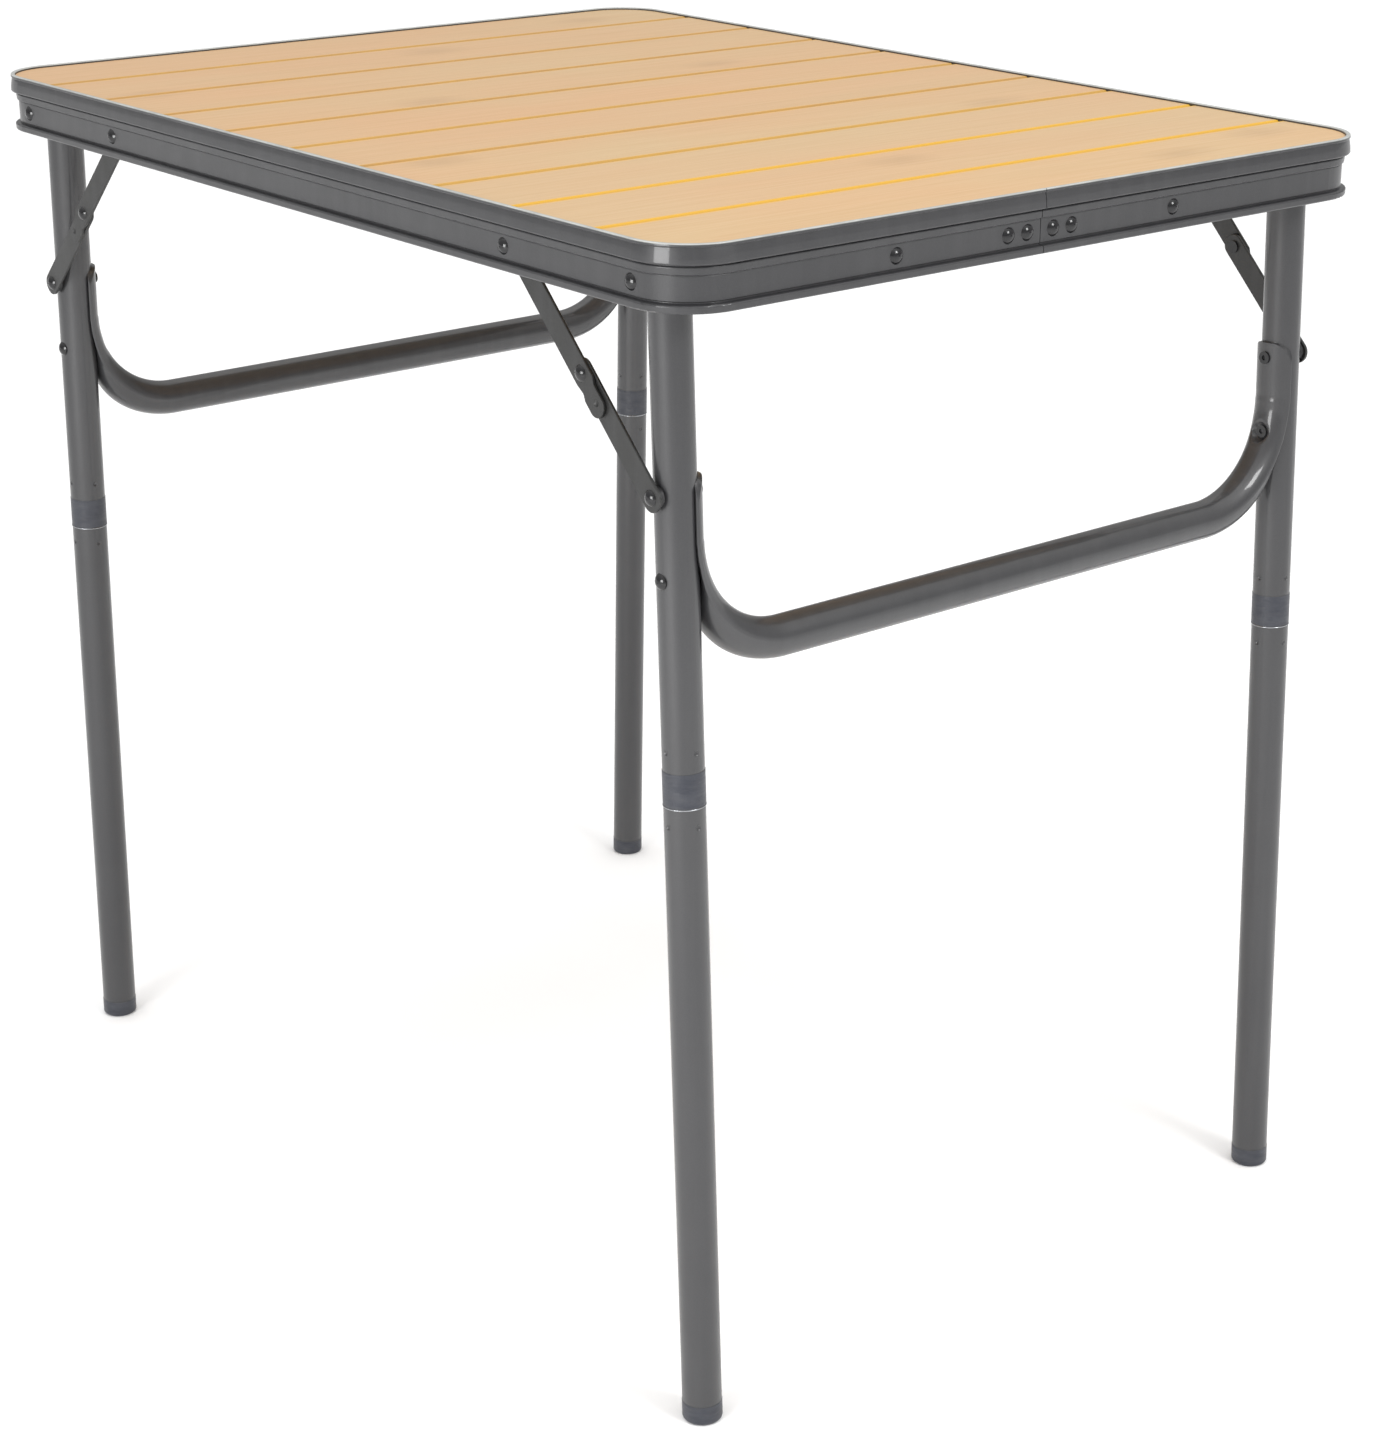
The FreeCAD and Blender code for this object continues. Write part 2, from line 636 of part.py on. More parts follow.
# ---- build ----------------------------------------------------------------------------
os.makedirs("parts", exist_ok=True)
save("frame_rail", frame_rail())
save("top_panel", top_panel())
save("splice_insert", splice_insert())
save("splice_rivets", *splice_rivets())
save("leg_pivot_rivets", *rail_side_rivets(PIVOT_X, LEG_IN - FACE_GAP))
save("leg_pivot_spacers", *rail_side_spacers(PIVOT_X, LEG_OUT + LINK_GAP))
save("brace_rail_rivets", *rail_side_rivets(PIVOT_X - BRACE_RAIL_DX, UPPER_IN - FACE_GAP))
save("brace_rail_spacers",
     *rail_side_spacers(PIVOT_X - BRACE_RAIL_DX, UPPER_OUT + FACE_GAP))

for side_name, side_sign in SIDES.items():
    both = ROWS.values()
    save("cross_tube_" + side_name, cross_tube(side_sign))
    save("leg_top_plugs_" + side_name, *[leg_top_plug(side_sign, r) for r in both])
    save("cross_tube_rivets_" + side_name, *[arm_rivet(side_sign, r) for r in both])
    save("brace_leg_rivets_" + side_name, *[brace_leg_rivet(side_sign, r) for r in both])
    save("brace_leg_spacers_" + side_name, *[brace_leg_spacer(side_sign, r) for r in both])
    for row_name, row_sign in ROWS.items():
        corner = row_name + "_" + side_name
        save("upper_leg_" + corner, upper_leg(side_sign, row_sign))
        save("leg_socket_" + corner, leg_socket(side_sign, row_sign))
        save("leg_collar_" + corner, leg_collar(side_sign, row_sign))
        save("brace_upper_link_" + corner, upper_link(side_sign, row_sign))
        save("brace_lower_link_" + corner, lower_link(side_sign, row_sign))
        save("brace_middle_rivet_" + corner, middle_rivet_head(side_sign, row_sign))
        save("brace_middle_rivet_tail_" + corner, middle_rivet_tail(side_sign, row_sign))
        save("lower_leg_" + corner, lower_tube(side_sign, row_sign))
        save("leg_spigot_" + corner, spigot(side_sign, row_sign))
        save("foot_cap_" + corner, foot_cap(side_sign, row_sign))
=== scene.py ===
import json
import math

import bmesh
import bpy
from mathutils import Matrix, Vector


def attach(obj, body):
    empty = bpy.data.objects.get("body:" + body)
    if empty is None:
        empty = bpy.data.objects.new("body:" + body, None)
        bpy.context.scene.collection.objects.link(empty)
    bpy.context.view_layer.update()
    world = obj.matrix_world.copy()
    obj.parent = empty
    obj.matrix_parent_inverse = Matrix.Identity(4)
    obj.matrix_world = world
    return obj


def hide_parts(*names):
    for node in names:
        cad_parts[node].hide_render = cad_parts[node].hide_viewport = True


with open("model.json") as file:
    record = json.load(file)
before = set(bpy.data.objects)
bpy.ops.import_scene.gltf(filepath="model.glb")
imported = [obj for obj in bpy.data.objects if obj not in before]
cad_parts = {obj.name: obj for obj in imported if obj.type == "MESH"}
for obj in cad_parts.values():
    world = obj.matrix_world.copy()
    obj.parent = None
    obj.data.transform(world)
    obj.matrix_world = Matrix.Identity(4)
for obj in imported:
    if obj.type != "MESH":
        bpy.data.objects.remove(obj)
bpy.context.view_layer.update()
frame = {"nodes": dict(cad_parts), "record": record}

# Looks of the folding camp table. Metres, in the CAD model's own frame: origin on the floor
# under the middle of the table, +X along its length, +Y to the rear, +Z up.

NODES = frame["nodes"]

# ---- camera -----------------------------------------------------------------------------
CAMERA_AT = Vector((1.5546, -1.2091, 1.0301))
CAMERA_AZIMUTH = 49.41
CAMERA_ELEVATION = 21.14
CAMERA_ROLL = 0.41
CAMERA_LENS = 75.3
CAMERA_SHIFT = (-0.0695, 0.0132)

# ---- light --------------------------------------------------------------------------------
SKY_LOW = 0.42           # brightness at the horizon
SKY_RISE = 1.75          # added overhead
SKY_POWER = 3.0          # how closely that light gathers overhead
NEAR_POWER = 28.0
NEAR_AT = (0.66, -2.25, 0.86)
NEAR_SIZE = (0.9, 0.75)
SIDE_POWER = 22.0
SIDE_AT = (2.0, 0.25, 1.75)
SIDE_SIZE = (0.7, 0.6)
NEAR_CORNER = (0.37, -0.27, 0.70)   # both softboxes face this corner of the top
FLOOR_HALF = 400.0       # far enough that the floor's edge meets the horizon

# ---- table top --------------------------------------------------------------------------
PLANK = 0.075            # pitch of the grooves
GROOVE_HALF = 0.0031
FRINGE = 0.0056          # paint of the grooves fades out this far from their middles
BACK_Z = 0.7064          # below this the board shows its plain back
BACK_FADE = 0.0002
FRESH_X = 0.2            # grooves past this, near the seam end, are a brighter yellow
GROOVE_REACH = 0.34      # grooves lie inside this distance from the middle

# ---- rail -------------------------------------------------------------------------------
RIM_REFLECTION_Z = 0.7112          # painted reflection: the rim is painted pale above this height, in place of a bright backdrop's reflection
RIM_REFLECTION_FADE = 0.0005

# ---- leg frames, upright, before their splay ----------------------------------------------
SIDES = {"right": 1.0, "left": -1.0}
ROWS = {"front": -1.0, "rear": 1.0}
SPLAY = math.radians(2.0)
PIVOT_X = 0.331
PIVOT_Z = 0.688
LEG_Y = 0.245
TUBE_R = 0.012
JOINT_Z = 0.393
BEAD_R = 0.0004          # bright bead under each collar
BEAD_STEPS = 64
BEAD_SIDES = 10
BAR_Z = 0.475            # axis of the cross tube
BEND_R = 0.055
ARM_Y = 0.228            # axis of the cross tube where it has turned upward
ARM_TOP = 0.580
ARM_OUT_R = 0.0146       # crushed arm around the leg
ARM_IN_R = 0.01207
WRAP = math.radians(68)  # how far the half shell reaches round the leg, each way
ROUND_FACE = math.radians(84)
SHELL_HALF = ARM_OUT_R * math.sin(WRAP)
CRUSH_R = 0.057          # upper line of the crushed bend
CRUSH_Z = 0.544
RIVET_Z = 0.523          # lower rivet through the arm
SEAT_R = 0.0045          # flat pressed around that rivet
SEAT_EDGE = 0.003
SEAT_Y = 0.2303
WALLS = 0.0014           # least thickness of the two crushed walls
CORNER_DROP = 0.012      # rounded corners at the top of each arm
CORNER_FROM = 0.35       # share of the half shell, from its middle, before they start
FACE_POINTS = 40         # steps across each face of the crushed arm
LIP_POINTS = 3           # points round each edge between the two faces
LIP_TURN = 60            # degrees between those points when crushed
LIP_TURN_ROUND = 3       # and when the tube is round
CREASE = math.radians(50)
BAR_STEPS = 8
BEND_STEPS = 60
ARM_STEPS = 30


# ---- node helper --------------------------------------------------------------------------
# A mix node lists the sockets of every data type; these are the ones used.
MIX_VECTOR_IN = (4, 5)
MIX_VECTOR_OUT = 1
MIX_COLOUR_IN = (6, 7)
MIX_COLOUR_OUT = 2


class Graph:
    """One material's node tree, with short calls for the nodes used here."""

    def __init__(self, name):
        self.material = bpy.data.materials.new(name)
        self.material.use_nodes = True
        self.tree = self.material.node_tree
        self.shader = self.tree.nodes["Principled BSDF"]

    def node(self, kind, **settings):
        made = self.tree.nodes.new(kind)
        for key, value in settings.items():
            setattr(made, key, value)
        return made

    def feed(self, value, socket):
        """Set a socket from a number, a colour or another node's output."""
        if isinstance(value, bpy.types.NodeSocket):
            self.tree.links.new(value, socket)
        elif isinstance(value, tuple) and socket.type == "RGBA":
            socket.default_value = (*value, 1.0)
        else:
            socket.default_value = value

    def place(self, scale=(1.0, 1.0, 1.0)):
        coords = self.node("ShaderNodeTexCoord")
        mapping = self.node("ShaderNodeMapping")
        self.feed(coords.outputs["Object"], mapping.inputs["Vector"])
        self.feed(scale, mapping.inputs["Scale"])
        return mapping.outputs["Vector"]

    def noise(self, spot, scale, detail=4.0, rough=0.55):
        made = self.node("ShaderNodeTexNoise")
        self.feed(spot, made.inputs["Vector"])
        self.feed(scale, made.inputs["Scale"])
        self.feed(detail, made.inputs["Detail"])
        self.feed(rough, made.inputs["Roughness"])
        return made.outputs["Fac"]

    def spread(self, value, low, high, to_low=0.0, to_high=1.0):
        made = self.node("ShaderNodeMapRange")
        self.feed(value, made.inputs["Value"])
        self.feed(low, made.inputs["From Min"])
        self.feed(high, made.inputs["From Max"])
        self.feed(to_low, made.inputs["To Min"])
        self.feed(to_high, made.inputs["To Max"])
        return made.outputs["Result"]

    def maths(self, how, a, b=0.0):
        made = self.node("ShaderNodeMath", operation=how)
        self.feed(a, made.inputs[0])
        self.feed(b, made.inputs[1])
        return made.outputs["Value"]

    def parts(self, spot):
        """X, Y and Z of a place, as the outputs of one node."""
        made = self.node("ShaderNodeSeparateXYZ")
        self.feed(spot, made.inputs["Vector"])
        return made.outputs

    def chance(self, value):
        """One fixed random number for each whole value."""
        made = self.node("ShaderNodeTexWhiteNoise", noise_dimensions="1D")
        self.feed(value, made.inputs["W"])
        return made.outputs["Value"]

    def mix(self, factor, a, b):
        made = self.node("ShaderNodeMix", data_type="RGBA")
        self.feed(factor, made.inputs["Factor"])
        self.feed(a, made.inputs[MIX_COLOUR_IN[0]])
        self.feed(b, made.inputs[MIX_COLOUR_IN[1]])
        return made.outputs[MIX_COLOUR_OUT]

    def bump(self, height, distance):
        made = self.node("ShaderNodeBump")
        self.feed(height, made.inputs["Height"])
        self.feed(distance, made.inputs["Distance"])
        self.feed(made.outputs["Normal"], self.shader.inputs["Normal"])

    def set(self, **values):
        for name, value in values.items():
            self.feed(value, self.shader.inputs[name.replace("_", " ")])


# ---- materials ------------------------------------------------------------------------------
def powder_coat(name, dark, light, rough, coat, peel, reflection_from=None):
    """Satin paint with faint mottling, fine grain and a slight orange peel."""
    g = Graph(name)
    spot = g.place()
    tone = g.mix(g.spread(g.noise(spot, 7.0, 5.0), 0.35, 0.65), dark, light)
    grain = g.spread(g.noise(spot, 1400.0, 2.0), 0.3, 0.7, 0.0, 0.10)
    tone = g.mix(grain, tone, (0.08, 0.08, 0.085))
    streak = g.noise(g.place((90.0, 90.0, 1.5)), 1.0, 3.0)
    tone = g.mix(g.spread(streak, 0.45, 0.75, 0.0, 0.30), tone, (0.050, 0.050, 0.052))
    # painted reflection: above the given height the rim turns a patchy pale grey, standing in for a
    # bright backdrop reflected there
    if reflection_from is not None:
        painted_reflection = g.spread(g.parts(spot)["Z"], reflection_from, reflection_from + RIM_REFLECTION_FADE)
        patchy = g.spread(g.noise(spot, 60.0, 3.0), 0.3, 0.6, 0.75, 1.0)
        tone = g.mix(g.maths("MULTIPLY", painted_reflection, patchy), tone, (0.44, 0.45, 0.43))
    g.set(
        Base_Color=tone,
        Roughness=g.spread(g.noise(spot, 45.0, 4.0), 0.3, 0.7, rough - 0.03, rough + 0.04),
        Coat_Weight=coat,
        Coat_Roughness=0.09,
    )
    g.bump(g.noise(spot, 620.0, 2.0), peel)
    return g.material


def gloss_black():
    """Rivets: deep gloss, with a touch of wear in the shine."""
    g = Graph("rivet_black")
    spot = g.place()
    g.set(
        Base_Color=g.mix(g.noise(spot, 300.0), (0.006, 0.006, 0.007), (0.018, 0.018, 0.019)),
        Roughness=g.spread(g.noise(spot, 500.0, 5.0), 0.3, 0.7, 0.10, 0.20),
        Specular_IOR_Level=0.35,
        Coat_Weight=0.25,
        Coat_Roughness=0.04,
    )
    return g.material


def moulded(name, dark, light, rough, relief):
    """Moulded plastic with fine horizontal flow marks."""
    g = Graph(name)
    flow = g.noise(g.place((60.0, 60.0, 420.0)), 1.0, 6.0, 0.6)
    cloud = g.noise(g.place((1.0, 1.0, 2.5)), 70.0, 4.0)
    tone = g.mix(g.spread(cloud, 0.35, 0.65), dark, light)
    g.set(
        Base_Color=g.mix(g.spread(flow, 0.5, 0.7, 0.0, 0.35), tone, (0.062, 0.062, 0.068)),
        Roughness=g.spread(flow, 0.3, 0.7, rough - 0.08, rough + 0.08),
    )
    g.bump(flow, relief)
    return g.material


def bright_bead():
    """Polished edge of the joint ring."""
    g = Graph("joint_bead")
    spot = g.place()
    g.set(
        Base_Color=g.mix(g.noise(spot, 400.0), (0.30, 0.31, 0.33), (0.45, 0.46, 0.48)),
        Metallic=1.0,
        Roughness=g.spread(g.noise(spot, 250.0), 0.3, 0.7, 0.18, 0.30),
    )
    return g.material


def wood(g, plank, streaks):
    """Light wood whose tone drifts, streaks along the grain and differs a little by plank."""
    patches = g.noise(g.place((5.0, 2.2, 5.0)), 1.0, 3.0)
    tone = g.mix(g.spread(patches, 0.38, 0.62), (0.600, 0.410, 0.210), (0.635, 0.380, 0.188))
    tone = g.mix(g.spread(streaks, 0.42, 0.75, 0.0, 0.35), tone, (0.50, 0.31, 0.145))
    broad = g.noise(g.place((34.0, 2.5, 1.0)), 1.0, 4.0)
    tone = g.mix(g.spread(broad, 0.5, 0.75, 0.0, 0.30), tone, (0.54, 0.35, 0.165))
    return g.mix(g.spread(g.chance(plank), 0.0, 1.0, 0.0, 0.25), tone, (0.56, 0.40, 0.225))


def knots(g, spot, tone):
    """A few soft darker patches, stretched and bent a little."""
    ragged = g.node("ShaderNodeTexNoise")
    g.feed(spot, ragged.inputs["Vector"])
    g.feed(40.0, ragged.inputs["Scale"])
    warp = g.node("ShaderNodeMix", data_type="VECTOR")
    g.feed(0.012, warp.inputs["Factor"])
    g.feed(spot, warp.inputs[MIX_VECTOR_IN[0]])
    g.feed(ragged.outputs["Color"], warp.inputs[MIX_VECTOR_IN[1]])
    stretch = g.node("ShaderNodeMapping")
    g.feed(warp.outputs[MIX_VECTOR_OUT], stretch.inputs["Vector"])
    g.feed((6.2, 3.4, 1.0), stretch.inputs["Scale"])
    knot = g.node("ShaderNodeTexVoronoi", voronoi_dimensions="2D", feature="F1")
    g.feed(stretch.outputs["Vector"], knot.inputs["Vector"])
    g.feed(1.0, knot.inputs["Scale"])
    near = g.spread(knot.outputs["Distance"], 0.015, 0.11, 1.0, 0.0)
    return g.mix(g.maths("MULTIPLY", near, 0.34), tone, (0.40, 0.25, 0.12))


def painted_grooves(g, across, along, line, tone):
    """Yellow-brown paint in each groove, spilling past its edges; the colour is darker along each
    groove's bottom.
    """
    off = g.maths("MULTIPLY", g.maths("ABSOLUTE", g.maths("SUBTRACT", along, line)), PLANK)
    inside = g.maths("LESS_THAN", g.maths("ABSOLUTE", across), GROOVE_REACH)
    fringe = g.spread(off, GROOVE_HALF, FRINGE, 0.75, 0.0)
    tone = g.mix(g.maths("MULTIPLY", fringe, inside), tone, (0.72, 0.42, 0.075))
    edge = g.spread(off, GROOVE_HALF * 0.9, GROOVE_HALF * 1.1, 1.0, 0.0)
    core = g.spread(off, 0.0, GROOVE_HALF * 0.8, 1.0, 0.0)
    paint = g.mix(g.chance(line), (0.42, 0.21, 0.045), (0.50, 0.27, 0.030))
    paint = g.mix(g.maths("GREATER_THAN", across, FRESH_X), paint, (0.66, 0.36, 0.008))
    along_groove = g.noise(g.place((8.0, 30.0, 1.0)), 1.0, 3.0)
    paint = g.mix(g.spread(along_groove, 0.4, 0.7, 0.0, 0.35), paint, (0.62, 0.33, 0.03))
    # darker colour along the bottom of each groove
    paint = g.mix(g.maths("MULTIPLY", core, 0.70), paint, (0.30, 0.15, 0.008))
    return g.mix(g.maths("MULTIPLY", edge, inside), tone, paint)


def board():
    """Printed light wood: planks across the width, faint grain, knots, painted grooves."""
    g = Graph("board")
    spot = g.place()
    parts = g.parts(spot)
    along = g.maths("DIVIDE", parts["X"], PLANK)
    streaks = g.noise(g.place((420.0, 14.0, 1.0)), 1.0, 4.0, 0.6)
    tone = wood(g, g.maths("FLOOR", along), streaks)
    tone = knots(g, spot, tone)
    tone = painted_grooves(g, parts["X"], along, g.maths("ROUND", along), tone)
    back = g.spread(parts["Z"], BACK_Z, BACK_Z + BACK_FADE, 1.0, 0.0)
    fibres = g.mix(g.noise(spot, 380.0, 5.0), (0.30, 0.20, 0.11), (0.42, 0.29, 0.17))
    g.set(
        Base_Color=g.mix(back, tone, fibres),
        Roughness=g.spread(streaks, 0.3, 0.7, 0.42, 0.52),
        Coat_Weight=0.15,
        Coat_Roughness=0.25,
    )
    g.bump(streaks, 0.00008)
    return g.material


def make_materials():
    return {
        "rail_paint": powder_coat(
            "rail_paint", (0.023, 0.023, 0.025), (0.029, 0.029, 0.031), 0.45, 0.40, 0.00003,
            RIM_REFLECTION_Z),
        "leg_paint": powder_coat(
            "leg_paint", (0.024, 0.024, 0.026), (0.031, 0.031, 0.033), 0.44, 0.55, 0.00004),
        "link_paint": powder_coat(
            "link_paint", (0.011, 0.011, 0.010), (0.016, 0.016, 0.015), 0.46, 0.10, 0.00003),
        "rivet_black": gloss_black(),
        "collar_plastic": moulded(
            "collar_plastic", (0.026, 0.029, 0.040), (0.044, 0.047, 0.058), 0.40, 0.0004),
        "inner_plastic": moulded(
            "inner_plastic", (0.018, 0.018, 0.019), (0.030, 0.030, 0.031), 0.5, 0.00006),
        "board": board(),
        "joint_bead": bright_bead(),
    }


def dress_nodes(materials):
    """Give every CAD node the finish of its slot in the record."""
    for part in frame["record"]["subparts"]:
        mesh = NODES[part["node"]].data
        mesh.materials.clear()
        mesh.materials.append(materials[part["material_slot"]])


# ---- cross tubes ------------------------------------------------------------------------------
def around_leg(radius, turn):
    """Point of the half shell, from the leg's axis, turned from the side that faces the middle."""
    return radius * math.sin(turn), -radius * math.cos(turn)


def loop_points():
    """Points around the tube: (angle when round, x and y when crushed, least distance)."""
    points = []
    mid_r = (ARM_OUT_R + ARM_IN_R) / 2
    lip_r = (ARM_OUT_R - ARM_IN_R) / 2
    for i in range(FACE_POINTS + 1):
        share = 2 * i / FACE_POINTS - 1
        points.append((ROUND_FACE * share, *around_leg(ARM_OUT_R, WRAP * share),
                       ARM_IN_R + WALLS))
    for end in (1, -1):
        for i in range(LIP_POINTS):
            step = i - LIP_POINTS // 2
            lean = math.radians(90 + LIP_TURN * step * end)
            x, y = around_leg(mid_r + lip_r * math.cos(lean), WRAP * end)
            bulge = lip_r * math.sin(lean)
            points.append((math.pi / 2 * (2 - end) + math.radians(LIP_TURN_ROUND * step),
                           x + end * bulge * math.cos(WRAP), y + bulge * math.sin(WRAP),
                           ARM_IN_R))
        if end == 1:
            for i in range(FACE_POINTS + 1):
                share = 1 - 2 * i / FACE_POINTS
                points.append((math.pi - ROUND_FACE * share,
                               *around_leg(ARM_IN_R, WRAP * share), ARM_IN_R))
    return points


def stations():
    """Centre (|y|, z) and turn of each ring, from the middle of the bar to the top of an arm."""
    reach = ARM_Y - BEND_R
    found = [(reach * i / BAR_STEPS, BAR_Z, 0.0) for i in range(BAR_STEPS)]
    for i in range(BEND_STEPS):
        turn = math.pi / 2 * i / BEND_STEPS
        found.append((reach + BEND_R * math.sin(turn),
                      BAR_Z + BEND_R * (1 - math.cos(turn)), turn))
    foot = BAR_Z + BEND_R
    for i in range(ARM_STEPS + 1):
        found.append((ARM_Y, foot + (ARM_TOP - foot) * i / ARM_STEPS, math.pi / 2))
    return found


def crushed_share(y, z, turn):
    """How far the ring has gone from round to crushed, from the upper line of the crush."""
    if turn == 0:
        return 0.0
    inner_y = y - TUBE_R * math.sin(turn)
    inner_z = z + TUBE_R * math.cos(turn)
    if inner_z >= CRUSH_Z:
        return 1.0
    line_y = ARM_Y - BEND_R + math.sqrt(max(0.0, CRUSH_R ** 2 - (CRUSH_Z - inner_z) ** 2))
    return max(0.0, min(1.0, (line_y - inner_y) / (LEG_Y - ARM_OUT_R - inner_y)))


def clear_of_leg(x, y, least):
    """Push a point out of the leg's cylinder."""
    from_axis = math.hypot(x, y - LEG_Y)
    if from_axis >= least or from_axis == 0:
        return x, y
    return x * least / from_axis, LEG_Y + (y - LEG_Y) * least / from_axis


def tube_ring(shape, y, z, turn):
    """One ring, in the leg frame's own upright place."""
    share = crushed_share(y, z, turn)
    foot = BAR_Z + BEND_R
    ring = []
    for angle, crushed_x, crushed_y, least in shape:
        inward = TUBE_R * math.cos(angle)
        px = TUBE_R * math.sin(angle) * (1 - share) + crushed_x * share
        py = (y - inward * math.sin(turn)) * (1 - share) + (LEG_Y + crushed_y) * share
        pz = z + inward * math.cos(turn)
        px, py = clear_of_leg(px, py, least)
        if z > foot:
            side = (abs(crushed_x) / SHELL_HALF - CORNER_FROM) / (1 - CORNER_FROM)
            drop = CORNER_DROP * (1 - math.sqrt(1 - max(0.0, min(1.0, side)) ** 2))
            pz -= drop * (z - foot) / (ARM_TOP - foot)
        if least > ARM_IN_R:
            away = math.hypot(px, pz - RIVET_Z)
            sink = max(0.0, min(1.0, (SEAT_R + SEAT_EDGE - away) / SEAT_EDGE))
            sink = sink * sink * (3 - 2 * sink)
            py = max(py, py + (SEAT_Y - py) * sink)
        ring.append((px, py, pz))
    return ring


def splayed(side, x, y, z):
    """From the upright leg frame to its place at rest."""
    drop = z - PIVOT_Z
    return Vector((side * (PIVOT_X + x * math.cos(SPLAY) - drop * math.sin(SPLAY)), y,
                   PIVOT_Z + x * math.sin(SPLAY) + drop * math.cos(SPLAY)))


def finish_piece(name, bm, materials, body):
    bmesh.ops.recalc_face_normals(bm, faces=bm.faces)
    mesh = bpy.data.meshes.new(name)
    bm.to_mesh(mesh)
    bm.free()
    for face in mesh.polygons:
        face.use_smooth = True
    piece = bpy.data.objects.new(name, mesh)
    bpy.context.scene.collection.objects.link(piece)
    for material in materials:
        mesh.materials.append(material)
    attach(piece, body)
    return piece


def cross_tube(side_name, side, material):
    """Round bar bent up at both ends, each arm crushed to a half shell around its leg."""
    shape = loop_points()
    count = len(shape)
    half = stations()
    rings = [[(x, -y, z) for x, y, z in tube_ring(shape, *spot)] for spot in reversed(half)]
    rings += [tube_ring(shape, *spot) for spot in half[1:]]
    bm = bmesh.new()
    loops = [[bm.verts.new(splayed(side, *point)) for point in ring] for ring in rings]
    for low, high in zip(loops, loops[1:]):
        for i in range(count):
            after = (i + 1) % count
            bm.faces.new((low[i], low[after], high[after], high[i]))
    first_inner = FACE_POINTS + 1 + LIP_POINTS
    last_inner = first_inner + FACE_POINTS
    for ring in (loops[0], loops[-1]):
        for i in range(FACE_POINTS):
            opposite = last_inner - i
            bm.faces.new((ring[i], ring[i + 1], ring[opposite - 1], ring[opposite]))
        bm.faces.new(ring[FACE_POINTS:first_inner + 1])
        bm.faces.new((ring[0], *ring[:last_inner - 1:-1]))
    piece = finish_piece("crossbar_" + side_name, bm, [material], "leg_frame_" + side_name)
    edges = piece.modifiers.new("edges", "EDGE_SPLIT")
    edges.split_angle = CREASE
    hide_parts("cross_tube_" + side_name)


def joint_bead(side_name, side, row_name, row, material):
    """Thin bright ring where the lower leg meets the collar."""
    bm = bmesh.new()
    loops = []
    for i in range(BEAD_STEPS):
        turn = 2 * math.pi * i / BEAD_STEPS
        loop = []
        for j in range(BEAD_SIDES):
            lean = 2 * math.pi * j / BEAD_SIDES
            out = TUBE_R + BEAD_R * math.cos(lean)
            loop.append(bm.verts.new(splayed(side, out * math.cos(turn),
                                             row * LEG_Y + out * math.sin(turn),
                                             JOINT_Z - 2 * BEAD_R + BEAD_R * math.sin(lean))))
        loops.append(loop)
    for i, loop in enumerate(loops):
        after = loops[(i + 1) % BEAD_STEPS]
        for j in range(BEAD_SIDES):
            k = (j + 1) % BEAD_SIDES
            bm.faces.new((loop[j], after[j], after[k], loop[k]))
    corner = row_name + "_" + side_name
    finish_piece("joint_bead_" + corner, bm, [material], "lower_leg_" + corner)


# ---- light, floor, camera -----------------------------------------------------------------------
def softbox(name, at, size, power):
    data = bpy.data.lights.new(name, "AREA")
    data.shape = "RECTANGLE"
    data.size, data.size_y = size
    data.energy = power
    lamp = bpy.data.objects.new(name, data)
    bpy.context.scene.collection.objects.link(lamp)
    lamp.location = at
    aim = Vector(NEAR_CORNER) - Vector(at)
    lamp.rotation_euler = aim.to_track_quat("-Z", "Y").to_euler()


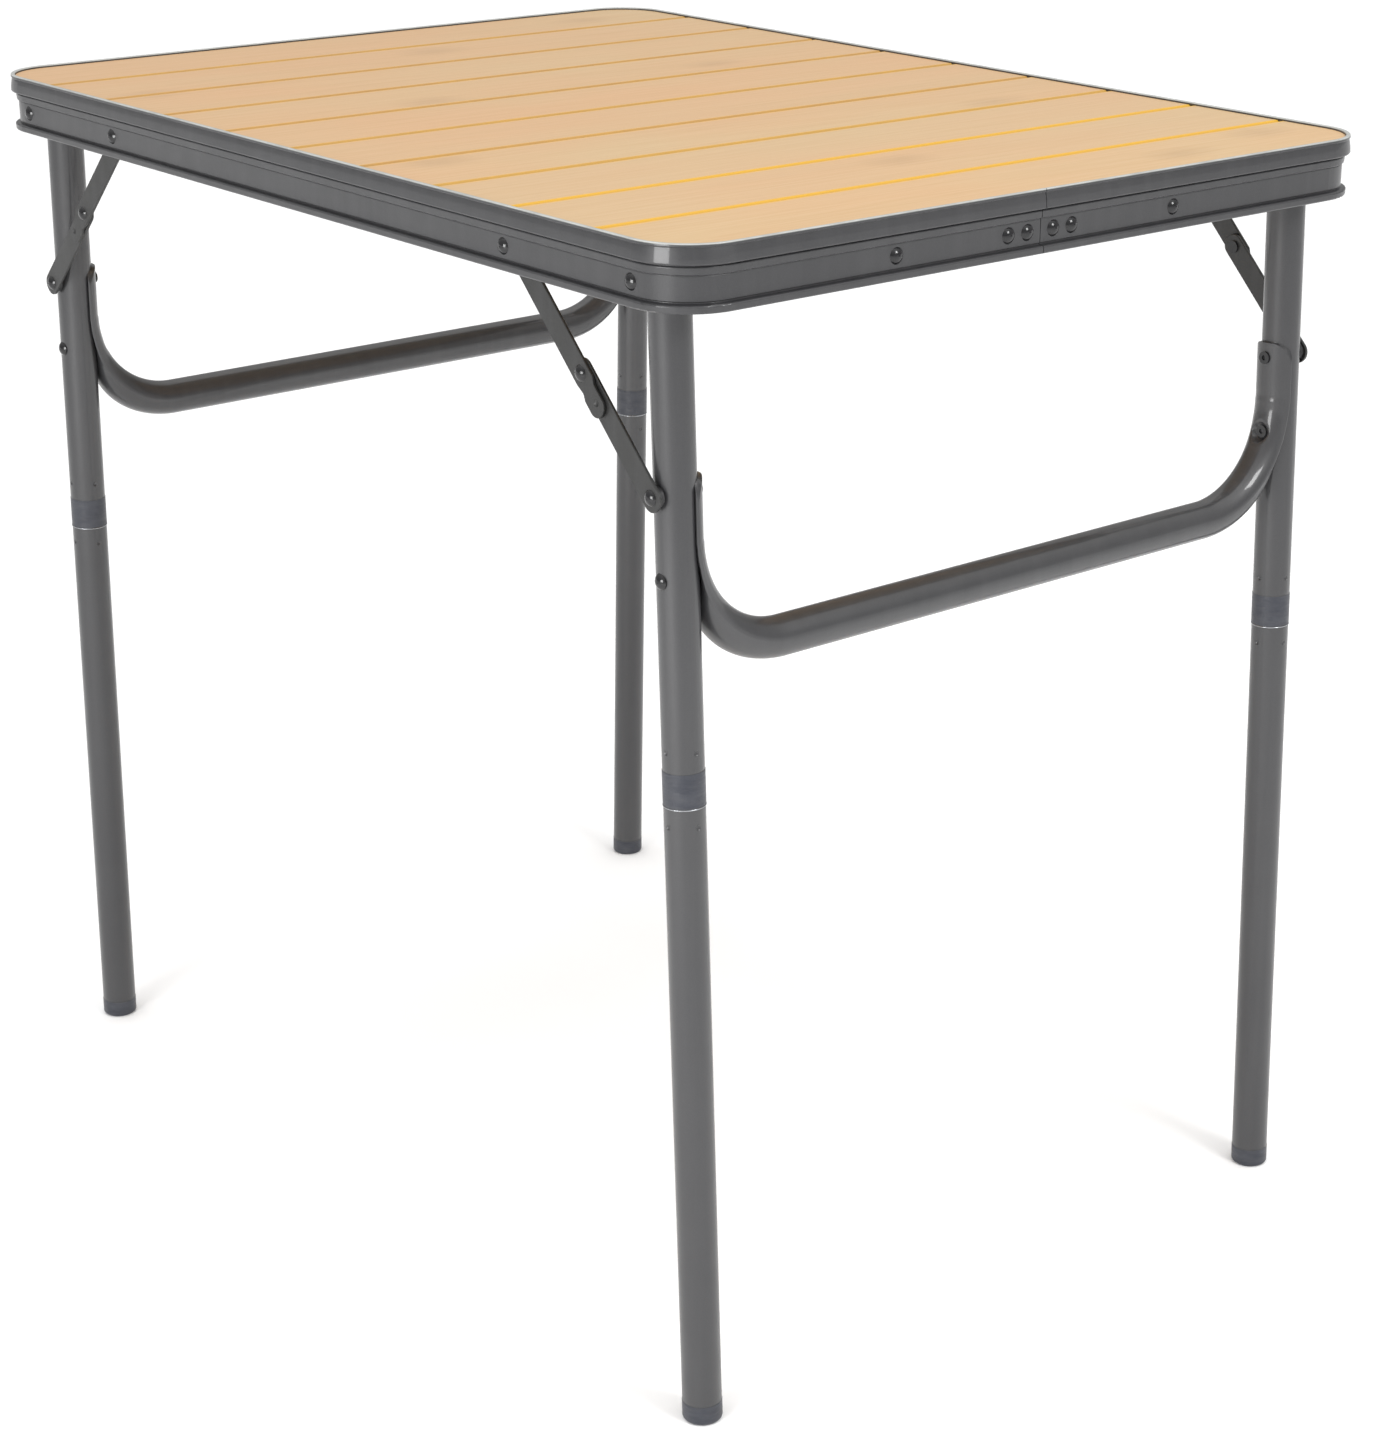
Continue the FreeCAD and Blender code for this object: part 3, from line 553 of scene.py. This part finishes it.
def studio():
    world = bpy.data.worlds.new("studio")
    bpy.context.scene.world = world
    world.use_nodes = True
    tree = world.node_tree
    sky = tree.nodes["Background"]
    coords = tree.nodes.new("ShaderNodeTexCoord")
    parts = tree.nodes.new("ShaderNodeSeparateXYZ")
    tree.links.new(coords.outputs["Generated"], parts.inputs["Vector"])
    powered = tree.nodes.new("ShaderNodeMath")
    powered.operation = "POWER"
    powered.use_clamp = True
    tree.links.new(parts.outputs["Z"], powered.inputs[0])
    powered.inputs[1].default_value = SKY_POWER
    total = tree.nodes.new("ShaderNodeMath")
    total.operation = "MULTIPLY_ADD"
    tree.links.new(powered.outputs["Value"], total.inputs[0])
    total.inputs[1].default_value = SKY_RISE
    total.inputs[2].default_value = SKY_LOW
    sky.inputs["Color"].default_value = (1.0, 1.0, 1.0, 1.0)
    tree.links.new(total.outputs["Value"], sky.inputs["Strength"])
    softbox("softbox_near", NEAR_AT, NEAR_SIZE, NEAR_POWER)
    softbox("softbox_side", SIDE_AT, SIDE_SIZE, SIDE_POWER)


def floor():
    mesh = bpy.data.meshes.new("floor")
    reach = FLOOR_HALF
    mesh.from_pydata([(-reach, -reach, 0), (reach, -reach, 0), (reach, reach, 0), (-reach, reach, 0)],
                     [], [(0, 1, 2, 3)])
    ground = bpy.data.objects.new("floor", mesh)
    bpy.context.scene.collection.objects.link(ground)
    g = Graph("pale_floor")
    g.set(Base_Color=(0.97, 0.97, 0.97), Roughness=0.9, Specular_IOR_Level=0.1)
    mesh.materials.append(g.material)


def camera():
    azimuth = math.radians(CAMERA_AZIMUTH)
    elevation = math.radians(CAMERA_ELEVATION)
    roll = math.radians(CAMERA_ROLL)
    ahead = Vector((-math.sin(azimuth) * math.cos(elevation),
                    math.cos(azimuth) * math.cos(elevation), -math.sin(elevation)))
    right = ahead.cross(Vector((0, 0, 1))).normalized()
    up = right.cross(ahead)
    tilted = right * math.cos(roll) + up * math.sin(roll)
    upward = up * math.cos(roll) - right * math.sin(roll)
    data = bpy.data.cameras.new("camera")
    data.lens = CAMERA_LENS
    data.shift_x, data.shift_y = CAMERA_SHIFT
    view = bpy.data.objects.new("camera", data)
    bpy.context.scene.collection.objects.link(view)
    turn = Matrix((tilted, upward, -ahead)).transposed().to_4x4()
    view.matrix_world = Matrix.Translation(CAMERA_AT) @ turn
    bpy.context.scene.camera = view


bpy.context.scene.view_settings.view_transform = "Standard"
camera()
studio()
floor()
MATERIALS = make_materials()
dress_nodes(MATERIALS)
for side_name, side in SIDES.items():
    cross_tube(side_name, side, MATERIALS["leg_paint"])
    for row_name, row in ROWS.items():
        joint_bead(side_name, side, row_name, row, MATERIALS["joint_bead"])
